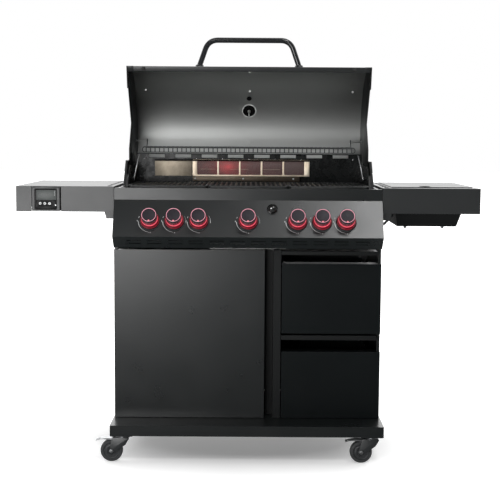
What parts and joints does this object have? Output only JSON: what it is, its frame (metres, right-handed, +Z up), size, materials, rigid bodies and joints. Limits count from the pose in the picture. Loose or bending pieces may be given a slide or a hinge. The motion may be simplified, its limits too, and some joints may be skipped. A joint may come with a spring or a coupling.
{
  "type": "gas barbecue grill",
  "caption": "Gas barbecue on casters: lid standing open, cabinet with door and drawers, side tables, knobs with red rings, warming rack, rear infrared and side burner.",
  "frame": {"origin": "centre of the object's box at floor level, where the casters touch", "axes": "+X to the right seen from the front, -Y towards the cook, +Z up"},
  "size_m": [1.55, 0.6492, 1.4333],
  "materials": {
    "black_powder_coat": "satin",
    "anthracite_powder_coat": "satin",
    "black_enamel": "gloss",
    "cast_iron": "matt",
    "stainless_steel": "brushed",
    "chromed_wire": "polished",
    "heat_tinted_steel": "heat tinted",
    "glowing_ceramic": "glowing ceramic tiles",
    "knob_black": "gloss",
    "wheel_rubber": "matt",
    "zinc_plate": "zinc plated",
    "display_plastic": "gloss",
    "button_grey": "satin",
    "handle_black": "gloss",
    "hose_rubber": "matt"
  },
  "bodies": {
    "frame": {"base_plinth": "black_powder_coat", "cabinet_left_side": "black_powder_coat", "cabinet_right_side": "black_powder_coat", "cabinet_back": "black_powder_coat", "cabinet_divider": "black_powder_coat", "cabinet_top_rail": "black_powder_coat", "cabinet_mid_shelf": "black_powder_coat", "control_panel": "black_powder_coat", "gas_manifold": "stainless_steel", "firebox_tub": "black_enamel", "firebox_left_end": "black_powder_coat", "firebox_right_end": "black_powder_coat", "grate_left": "cast_iron", "grate_center": "cast_iron", "grate_right": "cast_iron", "flame_tamer": "stainless_steel", "main_burners": "stainless_steel", "rear_burner_frame": "heat_tinted_steel", "rear_burner_tiles": "glowing_ceramic", "left_table": "anthracite_powder_coat", "display_housing": "display_plastic", "right_table": "black_powder_coat", "side_burner_bowl": "black_enamel", "side_burner_grate": "cast_iron", "gas_hose": "hose_rubber"},
    "lid": {"lid_shell": "black_powder_coat", "lid_left_side": "black_powder_coat", "lid_right_side": "black_powder_coat", "lid_handle": "handle_black", "lid_gauge": "stainless_steel"},
    "rack": {"warming_rack": "chromed_wire"},
    "rack_leg_left": {"rack_left_leg": "chromed_wire"},
    "rack_leg_right": {"rack_right_leg": "chromed_wire"},
    "door": {"door": "black_powder_coat"},
    "upper_drawer": {"drawer_upper": "black_powder_coat"},
    "lower_drawer": {"drawer_lower": "black_powder_coat"},
    "grease_tray": {"grease_tray": "stainless_steel"},
    "ignition_button": {"ignition_button": "knob_black"},
    "side_burner_lid": {"side_burner_lid": "black_powder_coat"},
    "knob_1": {"knob_1": "knob_black"},
    "knob_2": {"knob_2": "knob_black"},
    "knob_3": {"knob_3": "knob_black"},
    "knob_4": {"knob_4": "knob_black"},
    "knob_5": {"knob_5": "knob_black"},
    "knob_6": {"knob_6": "knob_black"},
    "knob_7": {"knob_7": "knob_black"},
    "display_button_1": {"display_button_1": "button_grey"},
    "display_button_2": {"display_button_2": "button_grey"},
    "display_button_3": {"display_button_3": "button_grey"},
    "caster_front_left_fork": {"caster_front_left_fork": "zinc_plate"},
    "caster_front_left_wheel": {"caster_front_left_wheel": "wheel_rubber"},
    "caster_front_right_fork": {"caster_front_right_fork": "zinc_plate"},
    "caster_front_right_wheel": {"caster_front_right_wheel": "wheel_rubber"},
    "caster_rear_left_fork": {"caster_rear_left_fork": "zinc_plate"},
    "caster_rear_left_wheel": {"caster_rear_left_wheel": "wheel_rubber"},
    "caster_rear_right_fork": {"caster_rear_right_fork": "zinc_plate"},
    "caster_rear_right_wheel": {"caster_rear_right_wheel": "wheel_rubber"},
    "caster_front_left_brake": {"caster_front_left_brake": "zinc_plate"},
    "caster_front_right_brake": {"caster_front_right_brake": "zinc_plate"}
  },
  "joints": [
    {"name": "lid_hinge", "type": "hinge", "parent": "frame", "child": "lid", "pos_m": [0, 0.16632, 0.992], "axis": [1, 0, 0], "range_deg": [0, 72.2]},
    {"name": "rack_pivot", "type": "hinge", "parent": "lid", "child": "rack", "pos_m": [0, 0.25132, 1.072], "axis": [1, 0, 0], "range_deg": [-72.2, 0]},
    {"name": "rack_left_leg_pivot", "type": "hinge", "parent": "frame", "child": "rack_leg_left", "pos_m": [-0.401, -0.03368, 0.942], "axis": [1, 0, 0], "range_deg": [0, 72.2]},
    {"name": "rack_right_leg_pivot", "type": "hinge", "parent": "frame", "child": "rack_leg_right", "pos_m": [0.401, -0.03368, 0.942], "axis": [1, 0, 0], "range_deg": [0, 72.2]},
    {"name": "door_hinge", "type": "hinge", "parent": "frame", "child": "door", "pos_m": [-0.4535, -0.18018, 0.418], "axis": [0, 0, -1], "range_deg": [0, 110]},
    {"name": "upper_drawer_slide", "type": "slide", "parent": "frame", "child": "upper_drawer", "axis": [0, -1, 0], "range_m": [0, 0.33]},
    {"name": "lower_drawer_slide", "type": "slide", "parent": "frame", "child": "lower_drawer", "axis": [0, -1, 0], "range_m": [0, 0.33]},
    {"name": "grease_tray_slide", "type": "slide", "parent": "frame", "child": "grease_tray", "axis": [0, 1, 0], "range_m": [0, 0.32]},
    {"name": "knob_1_turn", "type": "hinge", "parent": "frame", "child": "knob_1", "pos_m": [-0.3248, -0.2656, 0.8085], "axis": [0, -0.8817, 0.4717], "range_deg": [0, 180]},
    {"name": "knob_2_turn", "type": "hinge", "parent": "frame", "child": "knob_2", "pos_m": [-0.2443, -0.2656, 0.8085], "axis": [0, -0.8817, 0.4717], "range_deg": [0, 180]},
    {"name": "knob_3_turn", "type": "hinge", "parent": "frame", "child": "knob_3", "pos_m": [-0.1634, -0.2656, 0.8085], "axis": [0, -0.8817, 0.4717], "range_deg": [0, 180]},
    {"name": "knob_4_turn", "type": "hinge", "parent": "frame", "child": "knob_4", "pos_m": [0, -0.2656, 0.8085], "axis": [0, -0.8817, 0.4717], "range_deg": [0, 180]},
    {"name": "knob_5_turn", "type": "hinge", "parent": "frame", "child": "knob_5", "pos_m": [0.1634, -0.2656, 0.8085], "axis": [0, -0.8817, 0.4717], "range_deg": [0, 180]},
    {"name": "knob_6_turn", "type": "hinge", "parent": "frame", "child": "knob_6", "pos_m": [0.2443, -0.2656, 0.8085], "axis": [0, -0.8817, 0.4717], "range_deg": [0, 180]},
    {"name": "knob_7_turn", "type": "hinge", "parent": "frame", "child": "knob_7", "pos_m": [0.3248, -0.2656, 0.8085], "axis": [0, -0.8817, 0.4717], "range_deg": [0, 180]},
    {"name": "ignition_push", "type": "slide", "parent": "frame", "child": "ignition_button", "axis": [0, 0.8817, -0.4717], "range_m": [0, 0.004], "stiffness_N_per_m": 500},
    {"name": "display_button_1_push", "type": "slide", "parent": "frame", "child": "display_button_1", "axis": [0, 1, 0], "range_m": [0, 0.0012], "stiffness_N_per_m": 600},
    {"name": "display_button_2_push", "type": "slide", "parent": "frame", "child": "display_button_2", "axis": [0, 1, 0], "range_m": [0, 0.0012], "stiffness_N_per_m": 600},
    {"name": "display_button_3_push", "type": "slide", "parent": "frame", "child": "display_button_3", "axis": [0, 1, 0], "range_m": [0, 0.0012], "stiffness_N_per_m": 600},
    {"name": "side_burner_lid_hinge", "type": "hinge", "parent": "frame", "child": "side_burner_lid", "pos_m": [0.6135, 0.20832, 0.926], "axis": [-1, 0, 0], "range_deg": [0, 100]},
    {"name": "caster_front_left_swivel", "type": "hinge", "parent": "frame", "child": "caster_front_left_fork", "pos_m": [-0.419, -0.28068, 0.0835], "axis": [0, 0, 1], "continuous": true},
    {"name": "caster_front_left_roll", "type": "hinge", "parent": "caster_front_left_fork", "child": "caster_front_left_wheel", "pos_m": [-0.454, -0.28068, 0.0375], "axis": [0, 1, 0], "continuous": true},
    {"name": "caster_front_right_swivel", "type": "hinge", "parent": "frame", "child": "caster_front_right_fork", "pos_m": [0.419, -0.28068, 0.0835], "axis": [0, 0, 1], "continuous": true},
    {"name": "caster_front_right_roll", "type": "hinge", "parent": "caster_front_right_fork", "child": "caster_front_right_wheel", "pos_m": [0.384, -0.28068, 0.0375], "axis": [0, 1, 0], "continuous": true},
    {"name": "caster_rear_left_swivel", "type": "hinge", "parent": "frame", "child": "caster_rear_left_fork", "pos_m": [-0.419, 0.20532, 0.0835], "axis": [0, 0, 1], "continuous": true},
    {"name": "caster_rear_left_roll", "type": "hinge", "parent": "caster_rear_left_fork", "child": "caster_rear_left_wheel", "pos_m": [-0.454, 0.20532, 0.0375], "axis": [0, 1, 0], "continuous": true},
    {"name": "caster_rear_right_swivel", "type": "hinge", "parent": "frame", "child": "caster_rear_right_fork", "pos_m": [0.419, 0.20532, 0.0835], "axis": [0, 0, 1], "continuous": true},
    {"name": "caster_rear_right_roll", "type": "hinge", "parent": "caster_rear_right_fork", "child": "caster_rear_right_wheel", "pos_m": [0.384, 0.20532, 0.0375], "axis": [0, 1, 0], "continuous": true},
    {"name": "caster_front_left_brake_lever", "type": "hinge", "parent": "caster_front_left_fork", "child": "caster_front_left_brake", "pos_m": [-0.45, -0.28068, 0.0778], "axis": [0, 1, 0], "range_deg": [0, 10]},
    {"name": "caster_front_right_brake_lever", "type": "hinge", "parent": "caster_front_right_fork", "child": "caster_front_right_brake", "pos_m": [0.388, -0.28068, 0.0778], "axis": [0, 1, 0], "range_deg": [0, 10]}
  ],
  "couplings": [
    {"joint": "rack_pivot", "follows": "lid_hinge", "ratio": -1},
    {"joint": "rack_left_leg_pivot", "follows": "lid_hinge", "ratio": 1},
    {"joint": "rack_right_leg_pivot", "follows": "lid_hinge", "ratio": 1}
  ]
}
